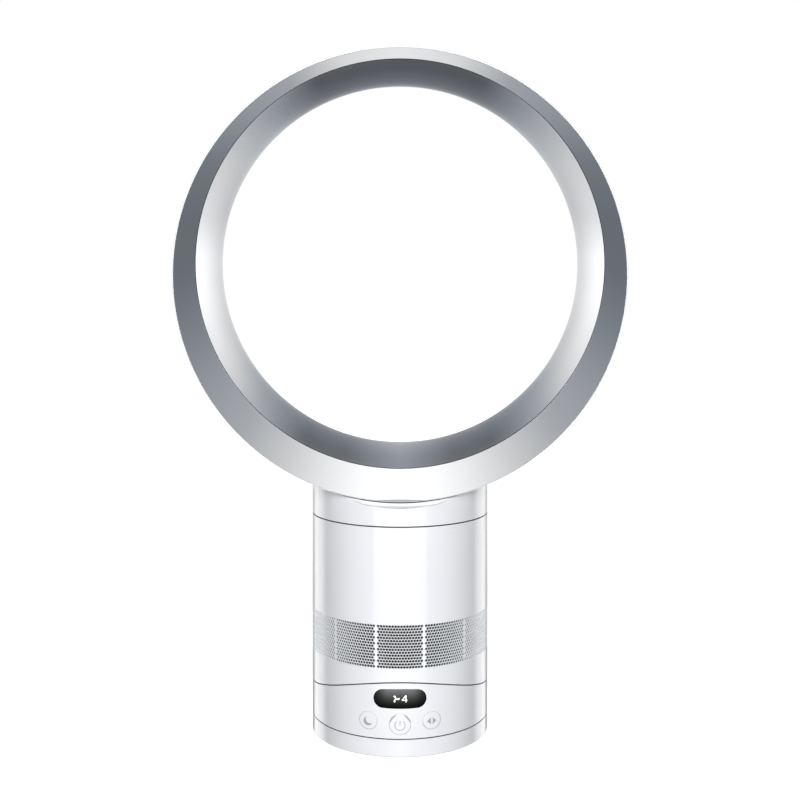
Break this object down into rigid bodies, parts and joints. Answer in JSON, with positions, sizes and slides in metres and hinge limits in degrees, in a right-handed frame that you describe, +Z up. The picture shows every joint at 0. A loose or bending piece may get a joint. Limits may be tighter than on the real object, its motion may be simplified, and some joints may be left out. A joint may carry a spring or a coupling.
{
  "type": "bladeless fan",
  "caption": "Bladeless desk fan: a hollow round loop with an air slot on a cylindrical body that tilts, on a turntable foot, with a display window and push keys.",
  "frame": {"origin": "centre of the foot on the surface that it stands on", "axes": "+Z up, the fan faces and blows towards -Y, +X to the right of someone in front of it"},
  "size_m": [0.3582, 0.147, 0.5592],
  "materials": {
    "white_shell": "glossy white moulding",
    "silver": "silver metallic paint on a moulding",
    "lens": "smoked display window",
    "rubber": "matt black rubber",
    "inner_plastic": "dark grey moulding",
    "nylon": "natural nylon",
    "steel": "bright steel",
    "board": "green circuit board",
    "foam": "open-cell foam",
    "mesh": "fine black mesh",
    "magnet": "coated magnet",
    "copper": "laminated steel and copper windings"
  },
  "bodies": {
    "foot": {"foot_shell": "white_shell", "foot_pad_ring": "rubber", "cord_grommet": "rubber", "gear_sector": "nylon", "foot_spindle": "steel", "spindle_retainer": "steel", "turntable_washer": "nylon"},
    "lower_body": {"lower_body_shell": "white_shell", "lower_chassis": "inner_plastic", "tilt_cradle": "inner_plastic", "tilt_friction_pads": "foam", "cradle_screws": "steel", "display_lens": "lens", "display_module": "inner_plastic", "display_board": "board", "control_board": "board", "tact_switches": "inner_plastic", "oscillation_motor": "steel", "oscillation_motor_screws": "steel"},
    "pinion": {"oscillation_pinion": "nylon"},
    "power_key": {"power_key": "white_shell"},
    "timer_key": {"timer_key": "white_shell"},
    "swing_key": {"swing_key": "white_shell"},
    "main_body": {"main_body_casing": "white_shell", "tilt_shoe": "inner_plastic", "tilt_retainers": "steel", "retainer_screws": "steel", "intake_deck": "inner_plastic", "intake_mesh": "mesh", "inlet_foam": "foam", "impeller_housing": "inner_plastic", "housing_mounts": "rubber", "duct_seal": "rubber", "motor_bucket_lower": "inner_plastic", "motor_bucket_upper": "inner_plastic", "diffuser_vanes": "inner_plastic", "motor_end_bracket": "steel", "motor_stator": "copper", "motor_bearings": "steel", "motor_board": "board", "top_collar": "inner_plastic", "loop_gasket": "rubber", "loop_neck": "white_shell", "loop_outer_casing": "white_shell", "loop_inner_casing": "silver", "loop_front_bezel": "silver"},
    "rotor": {"impeller": "nylon", "motor_shaft": "steel", "rotor_magnet": "magnet", "impeller_nut": "steel"}
  },
  "joints": [
    {"name": "oscillation", "type": "hinge", "parent": "foot", "child": "lower_body", "pos_m": [0, 0, 0.012], "axis": [0, 0, 1], "range_deg": [-35, 35]},
    {"name": "pinion_spin", "type": "hinge", "parent": "lower_body", "child": "pinion", "pos_m": [0, 0.04, 0.007], "axis": [0, 0, 1], "range_deg": [-141, 141]},
    {"name": "tilt", "type": "hinge", "parent": "lower_body", "child": "main_body", "pos_m": [0, 0, 0.208], "axis": [1, 0, 0], "range_deg": [-10, 10]},
    {"name": "power_key_press", "type": "slide", "parent": "lower_body", "child": "power_key", "axis": [0, 1, 0], "range_m": [0, 0.0009], "stiffness_N_per_m": 1200},
    {"name": "timer_key_press", "type": "slide", "parent": "lower_body", "child": "timer_key", "axis": [0, 1, 0], "range_m": [0, 0.0009], "stiffness_N_per_m": 1200},
    {"name": "swing_key_press", "type": "slide", "parent": "lower_body", "child": "swing_key", "axis": [0, 1, 0], "range_m": [0, 0.0009], "stiffness_N_per_m": 1200},
    {"name": "impeller_spin", "type": "hinge", "parent": "main_body", "child": "rotor", "pos_m": [0, 0, 0.13], "axis": [0, 0, 1], "continuous": true}
  ],
  "couplings": [
    {"joint": "pinion_spin", "follows": "oscillation", "ratio": 4}
  ]
}
